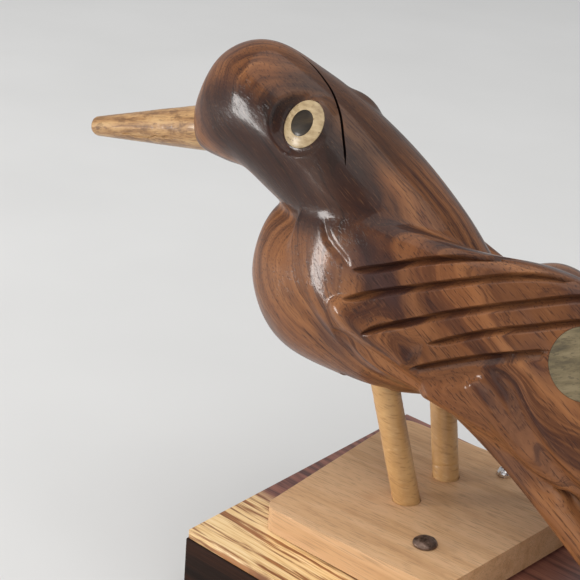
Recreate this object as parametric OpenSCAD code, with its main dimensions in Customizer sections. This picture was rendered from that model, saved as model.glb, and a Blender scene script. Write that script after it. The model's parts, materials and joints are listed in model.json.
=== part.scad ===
// Carved wooden dipping bird: a rosewood bird that rocks on a hidden axle through
// the tops of its two dowel legs, on a foot plate and a box base with a striped top.
// +X is the way the beak points, +Y is the bird's left and +Z is up.
// The origin is the centre of the base's underside.

/* [Base] */
// Length of the base, along the bird
base_l = 150; // [140:1:180]
// Width of the base, across the bird
base_w = 110; // [100:1:130]
// Height of the base
base_h = 34; // [28:1:45]
// Thickness of the striped top board
top_t = 3; // [2.5:0.5:4]
// How far the top board's edges stand in from the side boards
top_inset = 0.6; // [0:0.1:1]
// Thickness of the side boards
side_t = 8; // [6:0.5:10]
// Thickness of the bottom panel
bottom_t = 4; // [3:0.5:6]

/* [Foot plate] */
// Distance from the front of the base to the plate's front edge, at the bird
plate_front = 11.5; // [8:0.5:16]
// Length of the plate's left edge
plate_l_left = 65; // [60:1:72]
// Length of the plate's right edge
plate_l_right = 77; // [70:1:84]
// Width of the plate
plate_w = 77; // [70:1:84]
// Thickness of the plate at its front edge
plate_t_front = 7.7; // [6:0.1:9]
// Thickness of the plate at its rear edge
plate_t_rear = 11.2; // [9:0.1:13]
// Gap under the plate's rear edge, where the board has warped
plate_gap = 1.0; // [0:0.1:1.5]
// Radius of the plate's corners
plate_r = 5; // [2:0.5:8]

/* [Legs and axle] */
// Diameter of a leg
leg_d = 8.6; // [8:0.1:9]
// Distance between the two legs at the foot plate
leg_gap = 20.6; // [19:0.1:23]
// Forward lean of the legs
leg_lean = 15; // [10:1:18]
// How far each leg spreads outwards towards its top
leg_splay = 6; // [3:1:7]
// Diameter of the steel axle
axle_d = 3; // [2.5:0.1:4]
// Length of the steel axle
axle_l = 46; // [44:1:48]
// Radial running clearance of the legs' bores on the axle
axle_play = 0.08; // [0.02:0.01:0.1]
// Clearance of the belly slots on each side of a leg
slot_play = 0.6; // [0.4:0.1:1]
// Angle that the bird dips through
dip = 45; // [30:1:48]

/* [Bird] */
// Diameter of a flank inlay
inlay_d = 20; // [16:0.5:24]

/* [Beak and eyes] */
// Diameter of the beak where it leaves the head
beak_d = 15; // [13:0.5:16]
// Diameter of the beak's tip
beak_tip_d = 6.4; // [5:0.1:8]
// Visible length of the beak
beak_l = 54; // [45:1:60]
// Slope of the beak below level
beak_slope = 14; // [8:1:20]
// Diameter of an eye ring
eye_d = 14.8; // [12:0.1:16]
// Diameter of an eye pupil
pupil_d = 8.2; // [6:0.1:10]

/* [Fasteners] */
// Diameter of the tack's head
tack_head_d = 7.2; // [6:0.1:9]
// Diameter of the screw's head
screw_head_d = 5; // [4:0.1:6]

/* [Hidden] */

rosewood = [0.42, 0.19, 0.11];
dark_rosewood = [0.12, 0.06, 0.05];
striped_wood = [0.85, 0.64, 0.42];
pale_wood = [0.82, 0.62, 0.42];
cane_wood = [0.78, 0.58, 0.32];
plain_wood = [0.75, 0.6, 0.42];
bone = [0.85, 0.78, 0.62];
olive_wood = [0.4, 0.37, 0.26];
steel = [0.75, 0.75, 0.77];
horn_wood = [0.55, 0.4, 0.25];
pupil_wood = [0.1, 0.08, 0.05];
dark_iron = [0.2, 0.16, 0.13];
brass = [0.8, 0.62, 0.3];

eps = 0.01;
round_fn = 48;
// how many sides the carved sections have
body_sides = 16;
wing_sides = 12;

// the bird stands this far right of the base's middle
bird_y = -6;
// the feet's distance from the base's front, at the foot plate's top
feet_back = 43.5;
feet_x = base_l / 2 - feet_back;
// height of the foot plate's top above the base, at the feet
feet_h = 9.5;
// height of the axle above the feet
axle_rise = 46.5;
axle_x = feet_x + axle_rise * tan(leg_lean);
axle_z = base_h + feet_h + axle_rise;
// the legs' distance from the bird's middle plane at the axle
leg_y = leg_gap / 2 + axle_rise / cos(leg_lean) * tan(leg_splay);
// how far a leg reaches past the axle
leg_over = 6.5;
slot_r = leg_d / 2 + slot_play;

side_h = base_h - top_t;
cleat_t = 12;
cleat_w = 24;
block_w = 12;

// ---------------------------------------------------------------- shape functions

function signed_pow(v, e) = sign(v) * pow(abs(v), e);

// Catmull-Rom curve through a list of stations, with m steps between each two
function curve_at(p0, p1, p2, p3, t) =
    0.5 * (2 * p1 + (p2 - p0) * t + (2 * p0 - 5 * p1 + 4 * p2 - p3) * t * t
           + (3 * p1 - p0 - 3 * p2 + p3) * t * t * t);
function smooth(s, m) = let (k = len(s) - 1) concat(
    [for (i = [0 : k - 1], j = [0 : m - 1])
        curve_at(s[max(i - 1, 0)], s[i], s[i + 1], s[min(i + 2, k)], j / m)],
    [s[k]]);

// An oval section across the bird's middle plane. The station holds x, z, the half width,
// the height above and below that point, the backward tilt and the roundness (2 is an ellipse).
function oval(s, n) = [for (i = [0 : n - 1])
    let (a = 360 * i / n, up = sin(a) >= 0 ? s[3] : s[4],
         u = s[2] * signed_pow(cos(a), 2 / s[6]),
         v = up * signed_pow(sin(a), 2 / s[6]))
    [s[0] - v * sin(s[5]), u, s[1] + v * cos(s[5])]];

// A slab section beside the middle plane. The station holds x, y, z, the half height,
// the half thickness, the inward lean of the top and the roundness.
function slab(s, n) = [for (i = [0 : n - 1])
    let (a = 360 * i / n,
         u = s[4] * signed_pow(cos(a), 2 / s[6]),
         v = s[3] * signed_pow(sin(a), 2 / s[6]))
    [s[0], s[1] + u * cos(s[5]) - v * sin(s[5]), s[2] + u * sin(s[5]) + v * cos(s[5])]];

// A closed skin over a row of rings with the same number of points each
module skin(rings) {
    n = len(rings[0]);
    k = len(rings);
    points = [for (r = rings, p = r) p];
    sides = [for (i = [0 : k - 2], j = [0 : n - 1])
        let (a = i * n + j, b = i * n + (j + 1) % n)
        each [[a, b, b + n], [a, b + n, a + n]]];
    first = [for (j = [n - 1 : -1 : 0]) j];
    last = [for (j = [0 : n - 1]) (k - 1) * n + j];
    polyhedron(points, concat([first], sides, [last]), convexity = 4);
}

// ---------------------------------------------------------------- the bird's masses
// All stations are measured from the axle.

// the head and the neck behind it
head_stations = [
    [87, 43, 7, 9.5, 6, -18, 2],
    [84, 45, 11, 15, 8.5, -16, 2],
    [76, 50, 14.5, 22, 14, -12, 2],
    [65, 54.5, 17, 23, 18.5, -4, 2],
    [51, 53, 18, 20.5, 21.5, 8, 2],
    [35, 47.5, 18.5, 19.5, 22, 18, 2.1],
    [17, 38.5, 19.5, 18.5, 22, 24, 2.1],
    [-3, 28, 16.5, 16.5, 20, 25, 2],
    [-20, 21, 12, 10, 18, 24, 2]];

// the breast and the belly
breast_stations = [
    [57.5, 10, 4, 7, 5, 0, 2],
    [56, 10, 8.5, 14, 9.5, 0, 2],
    [52, 11, 15.5, 20, 15, 2, 2],
    [43, 11, 21.5, 24, 24, 6, 2],
    [29, 12, 25.5, 27, 28.5, 12, 2.2],
    [11, 12, 27, 25, 28.5, 14, 2.3],
    [-9, 9, 26.5, 19, 23.5, 16, 2.3],
    [-29, 6, 23, 17, 13, 20, 2.3]];

// the flat tail
tail_stations = [
    [-15, 5, 23, 12, 12.5, 18, 2.4],
    [-31, -0.5, 22.5, 9, 8.5, 28, 2.8],
    [-51, -11.3, 22.5, 6.5, 5.5, 31, 3.4],
    [-79, -28.8, 23.5, 5.5, 5.2, 32, 3.6],
    [-110, -51.5, 24.5, 4.5, 4.5, 34, 3.6]];

// the left wing's slab, with its high flat face
wing_stations = [
    [33, 15, 28, 10, 6, 18, 3],
    [17, 17, 25, 17, 8, 19, 3.5],
    [-3, 18, 21, 20.5, 8, 19, 4],
    [-25, 15.5, 18.2, 22, 8, 18, 4],
    [-47, 12.5, 16.5, 25, 7, 16, 4.5],
    [-65, 11, 12, 25.5, 6.5, 15, 4.5],
    [-80, 10.5, 3.5, 21, 6, 13, 4],
    [-91, 10, -5.5, 14.5, 5, 11, 3.5],
    [-98, 9.5, -11.5, 8, 3.5, 10, 3],
    [-101, 9.3, -15, 3, 2, 10, 3]];

// the right wing's slab, written as if on the left: its top is lower than the back
far_wing_stations = [
    [33, 15, 28, 10, 6, 18, 3],
    [17, 17.2, 24.3, 16.3, 8, 19, 3.4],
    [-3, 19.6, 16.3, 15.8, 8, 19, 3.4],
    [-25, 18, 10.8, 14.8, 8, 18, 3.4],
    [-47, 14.5, 10, 19, 7, 16, 3.8],
    [-65, 13, 5.5, 19, 6.5, 15, 4],
    [-80, 11.6, -0.5, 17, 6, 13, 3.8],
    [-91, 10.4, -7.5, 12.5, 5, 11, 3.5],
    [-98, 9.5, -12, 7.5, 3.5, 10, 3],
    [-101, 9.3, -15, 3, 2, 10, 3]];

// the rump that carries the tail
rump_stations = [
    [-20, 14, 18, 17, 20, 24, 2.2],
    [-45, 2, 17, 16, 17, 31, 2.4],
    [-70, -14, 16, 13, 13, 33, 2.6],
    [-92, -32, 15, 8, 8, 34, 2.8],
    [-106, -45, 12, 4, 4, 34, 2.8]];

// the rounded back between the wings
back_stations = [
    [2, 22, 15, 9, 12, 14, 2],
    [-12, 20, 19, 12, 14, 14, 2],
    [-21, 18, 20, 13.5, 14, 12, 2.1],
    [-30, 17, 20.5, 17.5, 14, 8, 2.1],
    [-40, 16, 20.5, 22.5, 14, 8, 2.1],
    [-50, 13.5, 19.5, 22.5, 14, 10, 2.1],
    [-62, 9, 17.5, 18, 13, 18, 2.1],
    [-74, 1, 15, 16.5, 11, 26, 2.1],
    [-85, -8, 12, 12, 8, 30, 2.1],
    [-92, -14, 8, 8, 6, 30, 2.1]];

module bird_masses() {
    for (mass = [head_stations, breast_stations, tail_stations, rump_stations, back_stations])
        skin([for (s = smooth(mass, 2)) oval(s, body_sides)]);
    skin([for (s = smooth(wing_stations, 2)) slab(s, wing_sides)]);
    mirror([0, 1, 0]) skin([for (s = smooth(far_wing_stations, 2)) slab(s, wing_sides)]);
}

// ---------------------------------------------------------------- places on the bird

// the beak's root, where its axis crosses the head's front
beak_root = [90, 0, 43.3];
beak_seat = 4;
tenon_d = 9;
tenon_l = 14;

// the middle of the left eye and the way it faces
eye_at = [37.7, 14.5, 61];
eye_turn = 6;
eye_tilt = 28.5;
eye_dome_r = 20;
eye_depth = 3;

// the middle of the left flank inlay and the way it faces
inlay_at = [-65.5, 15.5, 22];
// the right one sits lower, as the right wing does
far_inlay_at = [-65.5, 18.7, 9];
inlay_turn = -8;
inlay_tilt = 15;
inlay_t = 3.5;

module at_bird() {
    translate([axle_x, bird_y, axle_z]) children();
}

// puts a child's +Z along an outward direction: turn is forward, tilt is up
module facing(place, turn, tilt) {
    translate(place) rotate([0, 0, -turn]) rotate([tilt, 0, 0]) rotate([-90, 0, 0]) children();
}

// puts a child's +Z along the beak, from its root
module along_beak() {
    translate(beak_root) rotate([0, 90 + beak_slope, 0]) children();
}

// puts a child's -Z down a leg from the axle, with the leg leaning back by lean
module along_leg(lean) {
    translate([0, leg_y, 0]) rotate([0, lean, 0]) rotate([-leg_splay, 0, 0]) children();
}

module both_sides() {
    children();
    mirror([0, 1, 0]) children();
}

// the room that a leg sweeps as the bird dips, seen from the side
module slot_outline() {
    reach = 40;
    hull() {
        circle(r = slot_r, $fn = 32);
        for (lean = [leg_lean, leg_lean - dip])
            translate([-reach * sin(lean), -reach * cos(lean)]) circle(r = slot_r, $fn = 32);
    }
    circle(r = norm([leg_over, leg_d / 2]) + slot_play, $fn = round_fn);
}

// the left leg's slot, sheared outwards as the leg is splayed
module leg_slot() {
    side_room = slot_r / cos(leg_splay) + 0.2;
    shear = 1.05 * tan(leg_splay);
    multmatrix([[1, 0, 0, 0], [0, 1, shear, leg_y], [0, 0, 1, 0]])
        rotate([90, 0, 0]) linear_extrude(2 * side_room, center = true) slot_outline();
}

// ---------------------------------------------------------------- base

module side_board(length) {
    // a board along X with mitred ends, its outer face on Y = 0
    linear_extrude(side_h)
        polygon([[-length / 2, 0], [length / 2, 0],
                 [length / 2 - side_t, -side_t], [-length / 2 + side_t, -side_t]]);
}

module base_left_side() {
    color(dark_rosewood) translate([0, base_w / 2, 0]) side_board(base_l);
}

module base_right_side() {
    color(dark_rosewood) rotate([0, 0, 180]) translate([0, base_w / 2, 0]) side_board(base_l);
}

module base_front() {
    color(dark_rosewood) rotate([0, 0, -90]) translate([0, base_l / 2, 0]) side_board(base_w);
}

module base_rear() {
    color(dark_rosewood) rotate([0, 0, 90]) translate([0, base_l / 2, 0]) side_board(base_w);
}

module base_top() {
    l = base_l - 2 * top_inset;
    w = base_w - 2 * top_inset;
    color(striped_wood) difference() {
        translate([-l / 2, -w / 2, base_h - top_t]) cube([l, w, top_t]);
        at_tack() fastener_hole(tack_shank_r);
        at_screw() fastener_hole(screw_shank_r);
    }
}

inner_l = base_l - 2 * side_t;
inner_w = base_w - 2 * side_t;

module corner_places(dx, dy) {
    for (x = [-1, 1], y = [-1, 1]) translate([x * dx, y * dy, 0]) children();
}

module base_bottom() {
    color(plain_wood) difference() {
        translate([-inner_l / 2, -inner_w / 2, 0]) cube([inner_l, inner_w, bottom_t]);
        corner_places(inner_l / 2 - block_w / 2, inner_w / 2 - block_w / 2)
            bottom_screw_shape();
    }
}

module corner_blocks() {
    color(plain_wood) difference() {
        corner_places(inner_l / 2 - block_w / 2, inner_w / 2 - block_w / 2)
            translate([-block_w / 2, -block_w / 2, bottom_t])
                cube([block_w, block_w, side_h - bottom_t]);
        corner_places(inner_l / 2 - block_w / 2, inner_w / 2 - block_w / 2)
            bottom_screw_shape();
    }
}

// a countersunk screw that points up, its head flush with Z = 0
module bottom_screw_shape() {
    rotate_extrude($fn = 32)
        polygon([[0, 0], [2.8, 0], [2.8, 0.3], [1.4, 1.8], [1.4, 13], [0, 15]]);
}

module bottom_screws() {
    color(steel)
        corner_places(inner_l / 2 - block_w / 2, inner_w / 2 - block_w / 2)
            difference() {
                bottom_screw_shape();
                for (turn = [0, 90]) rotate([0, 0, turn])
                    translate([-1.5, -0.35, -eps]) cube([3, 0.7, 1]);
            }
}

// cleats glued across under the top board, between the side boards
module top_cleats() {
    color(plain_wood) difference() {
        for (x = [fastener_x, fastener_x + cleat_w + 2])
            translate([x - cleat_w / 2, -inner_w / 2, base_h - top_t - cleat_t])
                cube([cleat_w, inner_w, cleat_t]);
        at_tack() fastener_hole(tack_shank_r);
        at_screw() fastener_hole(screw_shank_r);
    }
}

// ---------------------------------------------------------------- foot plate

plate_left_y = 37.2;
plate_right_y = plate_left_y - plate_w;
plate_mid_x = base_l / 2 - plate_front;

// a polygon's corner as an arc of k steps, between its neighbours
function unit(v) = v / norm(v);
function arc_corner(p, q, r, radius, k) =
    let (a = unit(p - q), b = unit(r - q), half = acos(a * b) / 2,
         c = q + unit(a + b) * radius / sin(half),
         s = q + a * radius / tan(half) - c, e = q + b * radius / tan(half) - c)
    [for (i = [0 : k]) let (m = s * (1 - i / k) + e * i / k) c + unit(m) * radius];
function rounded(pts, radius, k) = let (n = len(pts))
    [for (i = [0 : n - 1])
        each arc_corner(pts[(i + n - 1) % n], pts[i], pts[(i + 1) % n], radius, k)];

// the plate's ends run askew, by this much on each side of the bird
plate_skew = 3;

plate_outline = rounded([
    [plate_mid_x - plate_skew, plate_left_y],
    [plate_mid_x - plate_skew - plate_l_left, plate_left_y],
    [plate_mid_x + plate_skew - plate_l_right, plate_right_y],
    [plate_mid_x + plate_skew, plate_right_y]], plate_r, 6);

// how much the plate's top and its underside rise for each millimetre towards the rear
plate_run = 72;
plate_rise = (plate_t_rear + plate_gap - plate_t_front) / plate_run;
under_rise = plate_gap / plate_run;

// height of the plate's top at a distance x along the base
function plate_top(x) = base_h + plate_t_front + (plate_mid_x - x) * plate_rise;

// the wedge between the plate's underside and its top, seen from the side
module plate_wedge() {
    front = plate_mid_x + 4;
    back = front - plate_run - 12;
    translate([0, plate_left_y + 1, 0]) rotate([90, 0, 0]) linear_extrude(plate_w + 2)
        polygon([[front, base_h], [back, base_h + (front - back) * under_rise],
                 [back, plate_top(back)], [front, plate_top(front)]]);
}

module foot_plate() {
    color(pale_wood) difference() {
        intersection() {
            translate([0, 0, base_h - 1]) linear_extrude(20) polygon(plate_outline);
            plate_wedge();
        }
        at_bird() both_sides() along_leg(leg_lean)
            translate([0, 0, -70]) cylinder(d = leg_d, h = 60, $fn = round_fn);
        at_tack() fastener_hole(tack_shank_r);
        at_screw() fastener_hole(screw_shank_r);
    }
}

// ---------------------------------------------------------------- legs

module leg() {
    foot_cut = base_h + 0.8;
    difference() {
        along_leg(leg_lean) translate([0, 0, -60]) cylinder(d = leg_d, h = 60 + leg_over, $fn = round_fn);
        rotate([90, 0, 0]) cylinder(d = axle_d + 2 * axle_play, h = 100, center = true, $fn = round_fn);
        translate([-60, -30, foot_cut - axle_z - 40]) cube([80, 80, 40]);
    }
}

module left_leg() {
    color(cane_wood) at_bird() leg();
}

module right_leg() {
    color(cane_wood) at_bird() mirror([0, 1, 0]) leg();
}

// ---------------------------------------------------------------- fasteners

tack_shank_r = 0.9;
screw_shank_r = 1.3;
fastener_x = base_l / 2 - 60;
tack_at = [base_l / 2 - 63, 21.6];
screw_at = [base_l / 2 - 56.5, -30];

module at_tack() {
    translate([tack_at[0], tack_at[1], plate_top(tack_at[0])]) children();
}

module at_screw() {
    translate([screw_at[0], screw_at[1], plate_top(screw_at[0])]) children();
}

module fastener_hole(r) {
    translate([0, 0, -18]) cylinder(r = r, h = 22, $fn = 32);
}

module plate_tack() {
    color(dark_iron) at_tack() {
        rotate_extrude($fn = round_fn)
            polygon([[0, -17], [tack_shank_r, -14], [tack_shank_r, 0.2], [tack_head_d / 2 - 0.3, 0.2],
                     [tack_head_d / 2, 0.6], [tack_head_d / 2 - 0.5, 1.3], [tack_head_d / 3, 1.9],
                     [tack_head_d / 6, 2.2], [0, 2.3]]);
    }
}

module plate_screw() {
    head_r = screw_head_d / 2;
    color(steel) at_screw() difference() {
        rotate_extrude($fn = round_fn)
            polygon([[0, -17], [screw_shank_r, -14], [screw_shank_r, 0.2], [head_r, 0.2],
                     [head_r, 1.1], [head_r - 0.4, 1.8], [head_r / 2, 2.2], [0, 2.3]]);
        for (turn = [20, 110]) rotate([0, 0, turn])
            translate([-1.5, -0.4, 1.2]) cube([3, 0.8, 2]);
    }
}

// ---------------------------------------------------------------- bird

// keeps the carving and its cuts together as one skin
module one_skin() {
    resize([0, 0, 0]) children();
}

module bird_body() {
    color(rosewood) at_bird() one_skin() difference() {
        bird_masses();
        both_sides() leg_slot();
        translate([0, axle_l / 2, 0]) rotate([90, 0, 0]) cylinder(d = axle_d, h = 60, $fn = round_fn);
        along_beak() {
            translate([0, 0, -beak_seat]) cylinder(d = beak_d, h = 20, $fn = round_fn);
            translate([0, 0, -tenon_l]) cylinder(d = tenon_d, h = 20, $fn = round_fn);
        }
        both_sides() facing(eye_at, eye_turn, eye_tilt)
            translate([0, 0, -eye_depth]) cylinder(d = eye_d, h = 12, $fn = round_fn);
        flank_inlay(inlay_at, 12);
        mirror([0, 1, 0]) flank_inlay(far_inlay_at, 12);
    }
}

module beak() {
    color(horn_wood) at_bird() along_beak() difference() {
        rotate_extrude($fn = round_fn)
            polygon([[0, -tenon_l], [tenon_d / 2, -tenon_l], [tenon_d / 2, -beak_seat],
                     [beak_d / 2, -beak_seat], [beak_d / 2, 0], [beak_tip_d / 2 + 0.3, beak_l - 1],
                     [beak_tip_d / 2, beak_l], [0, beak_l]]);
        translate([0, 0, beak_l - 3]) cylinder(d = 2.6, h = 4, $fn = 32);
        translate([0, 0, beak_l - 16]) cylinder(d = 1.6, h = 14, $fn = 32);
    }
}

module beak_pin() {
    color(brass) at_bird() along_beak()
        translate([0, 0, beak_l - 16]) cylinder(d = 1.6, h = 15.2, $fn = 32);
}

module domed_disc(d) {
    intersection() {
        translate([0, 0, -eye_depth]) cylinder(d = d, h = 12, $fn = round_fn);
        translate([0, 0, -eye_dome_r]) sphere(r = eye_dome_r, $fn = 96);
    }
}

module eye_ring() {
    facing(eye_at, eye_turn, eye_tilt) difference() {
        domed_disc(eye_d);
        translate([0, 0, -eye_depth - 1]) cylinder(d = pupil_d, h = 12, $fn = round_fn);
    }
}

module pupil() {
    facing(eye_at, eye_turn, eye_tilt) domed_disc(pupil_d);
}

module flank_inlay(place, h) {
    facing(place, inlay_turn, inlay_tilt)
        translate([0, 0, -inlay_t]) cylinder(d = inlay_d, h = h, $fn = round_fn);
}

module left_eye_ring() {
    color(bone) at_bird() eye_ring();
}

module right_eye_ring() {
    color(bone) at_bird() mirror([0, 1, 0]) eye_ring();
}

module left_pupil() {
    color(pupil_wood) at_bird() pupil();
}

module right_pupil() {
    color(pupil_wood) at_bird() mirror([0, 1, 0]) pupil();
}

module left_flank_inlay() {
    color(olive_wood) at_bird() flank_inlay(inlay_at, inlay_t);
}

module right_flank_inlay() {
    color(olive_wood) at_bird() mirror([0, 1, 0]) flank_inlay(far_inlay_at, inlay_t);
}

module axle() {
    color(steel) at_bird() translate([0, axle_l / 2, 0]) rotate([90, 0, 0])
        cylinder(d = axle_d, h = axle_l, $fn = round_fn);
}

module axle_plug() {
    color(rosewood) at_bird() translate([0, -axle_l / 2, 0]) rotate([90, 0, 0])
        cylinder(d = axle_d, h = 2, $fn = round_fn);
}

base_top();
base_left_side();
base_right_side();
base_front();
base_rear();
base_bottom();
corner_blocks();
top_cleats();
bottom_screws();
foot_plate();
left_leg();
right_leg();
plate_tack();
plate_screw();
bird_body();
beak();
beak_pin();
left_eye_ring();
right_eye_ring();
left_pupil();
right_pupil();
left_flank_inlay();
right_flank_inlay();
axle();
axle_plug();
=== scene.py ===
import json
import math

import bmesh
import bpy
import numpy as np
from mathutils import Matrix, Vector, noise
from mathutils.bvhtree import BVHTree


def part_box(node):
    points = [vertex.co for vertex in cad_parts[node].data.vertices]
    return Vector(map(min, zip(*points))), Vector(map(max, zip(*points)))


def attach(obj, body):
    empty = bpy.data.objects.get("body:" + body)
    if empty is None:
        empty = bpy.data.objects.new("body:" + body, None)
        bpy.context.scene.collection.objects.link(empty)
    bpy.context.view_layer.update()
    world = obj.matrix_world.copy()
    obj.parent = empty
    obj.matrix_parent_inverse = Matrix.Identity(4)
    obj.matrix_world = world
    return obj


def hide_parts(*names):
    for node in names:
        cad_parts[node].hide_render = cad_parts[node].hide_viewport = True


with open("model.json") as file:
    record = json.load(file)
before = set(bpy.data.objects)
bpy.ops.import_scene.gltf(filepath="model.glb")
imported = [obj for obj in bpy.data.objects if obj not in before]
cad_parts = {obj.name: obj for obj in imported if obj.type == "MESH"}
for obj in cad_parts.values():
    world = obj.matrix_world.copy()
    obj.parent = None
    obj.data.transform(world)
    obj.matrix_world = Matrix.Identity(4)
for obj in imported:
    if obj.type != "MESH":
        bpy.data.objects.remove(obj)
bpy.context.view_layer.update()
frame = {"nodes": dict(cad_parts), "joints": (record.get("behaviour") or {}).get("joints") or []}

MM = 0.001
AXLE = Vector(frame["joints"][0]["pos_m"])
VOXEL = 0.6 * MM

# ---------------------------------------------------------------- camera and stage

SENSOR_MM, FOCAL_PX, IMAGE_PX = 36.0, 1400.0, 580.0
scene = bpy.context.scene
cam_data = bpy.data.cameras.new("camera")
cam_data.sensor_width = SENSOR_MM
cam_data.lens = SENSOR_MM * FOCAL_PX / IMAGE_PX
cam_data.clip_start = 0.01
cam = bpy.data.objects.new("camera", cam_data)
scene.collection.objects.link(cam)
side = Vector((-0.747832, -0.659678, 0.074648))
up = Vector((0.316686, -0.255642, 0.913431))
back = Vector((-0.583487, 0.706733, 0.400088))
eye = Vector((-0.17063, 0.312906, 0.269966))
cam.matrix_world = Matrix((
    (side.x, up.x, back.x, eye.x),
    (side.y, up.y, back.y, eye.y),
    (side.z, up.z, back.z, eye.z),
    (0, 0, 0, 1)))
scene.camera = cam


def node(tree, kind, **values):
    n = tree.nodes.new(kind)
    for key, value in values.items():
        setattr(n, key, value)
    return n


class Look:
    """A material under construction: short calls that add shader nodes."""

    def __init__(self, name, **sockets):
        self.mat = bpy.data.materials.new(name)
        self.mat.use_nodes = True
        self.tree = self.mat.node_tree
        self.shader = self.tree.nodes["Principled BSDF"]
        for key, value in sockets.items():
            self.shader.inputs[key.replace("_", " ")].default_value = value
        self.place = node(self.tree, "ShaderNodeTexCoord").outputs["Object"]

    def link(self, a, b):
        self.tree.links.new(a, b)

    def math(self, op, a, b, clamp=False):
        n = node(self.tree, "ShaderNodeMath", operation=op, use_clamp=clamp)
        for i, v in enumerate((a, b)):
            if hasattr(v, "links"):
                self.link(v, n.inputs[i])
            else:
                n.inputs[i].default_value = v
        return n.outputs[0]

    def mapped(self, turn=(0, 0, 0), scale=(1, 1, 1), shift=(0, 0, 0), source=None):
        """Object place, shifted, turned (degrees) and then scaled."""
        a = node(self.tree, "ShaderNodeMapping", vector_type="POINT")
        a.inputs["Location"].default_value = shift
        a.inputs["Rotation"].default_value = [math.radians(t) for t in turn]
        self.link(source or self.place, a.inputs["Vector"])
        b = node(self.tree, "ShaderNodeMapping", vector_type="POINT")
        b.inputs["Scale"].default_value = scale
        self.link(a.outputs[0], b.inputs["Vector"])
        return b.outputs[0]

    def noise(self, vector, scale=1.0, detail=4.0, rough=0.5, distort=0.0):
        n = node(self.tree, "ShaderNodeTexNoise")
        n.inputs["Scale"].default_value = scale
        n.inputs["Detail"].default_value = detail
        n.inputs["Roughness"].default_value = rough
        n.inputs["Distortion"].default_value = distort
        self.link(vector, n.inputs["Vector"])
        return n.outputs["Fac"]

    def cells(self, vector, scale):
        n = node(self.tree, "ShaderNodeTexVoronoi")
        n.inputs["Scale"].default_value = scale
        self.link(vector, n.inputs["Vector"])
        return n.outputs["Distance"]

    def ramp(self, value, stops, smooth=False):
        n = node(self.tree, "ShaderNodeValToRGB")
        ramp = n.color_ramp
        ramp.interpolation = "EASE" if smooth else "LINEAR"
        while len(ramp.elements) < len(stops):
            ramp.elements.new(0.5)
        for e, (at, colour) in zip(ramp.elements, stops):
            e.position = at
            e.color = (colour, colour, colour, 1) if isinstance(colour, float) else (*colour, 1)
        self.link(value, n.inputs[0])
        return n.outputs[0]

    def mix(self, amount, a, b):
        n = node(self.tree, "ShaderNodeMix", data_type="RGBA")
        for socket, v in ((n.inputs[0], amount), (n.inputs[6], a), (n.inputs[7], b)):
            if hasattr(v, "links"):
                self.link(v, socket)
            elif isinstance(v, (int, float)):
                socket.default_value = v
            else:
                socket.default_value = (*v, 1)
        return n.outputs[2]

    def axes(self, vector=None):
        n = node(self.tree, "ShaderNodeSeparateXYZ")
        self.link(vector or self.place, n.inputs[0])
        return n.outputs

    def join(self, x, y, z):
        n = node(self.tree, "ShaderNodeCombineXYZ")
        for i, v in enumerate((x, y, z)):
            if hasattr(v, "links"):
                self.link(v, n.inputs[i])
            else:
                n.inputs[i].default_value = v
        return n.outputs[0]

    def attribute(self, name):
        n = node(self.tree, "ShaderNodeAttribute", attribute_name=name)
        return n.outputs["Fac"]

    def colour(self, v):
        self.link(v, self.shader.inputs["Base Color"])

    def rough(self, v):
        self.link(v, self.shader.inputs["Roughness"])

    def bump(self, height, size_mm, strength, coat=False):
        n = node(self.tree, "ShaderNodeBump")
        n.inputs["Strength"].default_value = strength
        n.inputs["Distance"].default_value = size_mm * MM
        self.link(height, n.inputs["Height"])
        self.link(n.outputs[0], self.shader.inputs["Normal"])
        if coat:
            self.link(n.outputs[0], self.shader.inputs["Coat Normal"])


floor_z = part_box("base_left_side")[0].z
bpy.ops.mesh.primitive_plane_add(size=6.0, location=(0, 0, floor_z))
floor = bpy.context.object
floor.name = "floor"
floor_look = Look("floor_look", Roughness=0.9)
floor_look.colour(floor_look.ramp(floor_look.noise(floor_look.place, 8.0, 3.0), [
    (0.3, (0.67, 0.665, 0.655)), (0.7, (0.70, 0.695, 0.685))]))
floor.data.materials.append(floor_look.mat)

world = bpy.data.worlds.new("studio")
scene.world = world
world.use_nodes = True
world.node_tree.nodes["Background"].inputs[0].default_value = (0.95, 0.97, 1.0, 1)
world.node_tree.nodes["Background"].inputs[1].default_value = 0.45
scene.view_settings.view_transform = "Standard"


def area_light(name, place, target, size, power, colour):
    """A rectangular light at a place, facing the target: size in metres, power in watts."""
    data = bpy.data.lights.new(name, "AREA")
    data.shape = "RECTANGLE"
    data.size, data.size_y = size
    data.energy = power
    data.color = colour
    ob = bpy.data.objects.new(name, data)
    ob.location = place
    ob.rotation_euler = (Vector(target) - Vector(place)).to_track_quat("-Z", "Y").to_euler()
    scene.collection.objects.link(ob)


middle = Vector((0.03, 0.0, 0.09))
area_light("window", (0.93, 0.82, 0.15), middle, (0.24, 0.40), 9.0, (1.0, 0.98, 0.95))
area_light("ceiling", (0.1, 0.3, 1.7), middle, (2.2, 2.2), 24.0, (1.0, 0.99, 0.97))
area_light("room_fill", (-1.0, 1.5, 0.8), middle, (1.8, 1.6), 9.0, (0.98, 0.99, 1.0))

# ---------------------------------------------------------------- mesh helpers


def curve_through(stations, steps):
    """Catmull-Rom curve through the stations."""
    p = np.array(stations, float)
    k = len(p) - 1
    out = []
    for i in range(k):
        a, b, c, d = p[max(i - 1, 0)], p[i], p[i + 1], p[min(i + 2, k)]
        for j in range(steps):
            t = j / steps
            out.append(0.5 * (2 * b + (c - a) * t + (2 * a - 5 * b + 4 * c - d) * t * t
                              + (3 * b - a - 3 * c + d) * t * t * t))
    out.append(p[k])
    return np.array(out)


def signed_pow(v, e):
    """The power of the size, with the sign kept: it makes an ellipse squarer."""
    return np.sign(v) * np.abs(v) ** e


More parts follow.
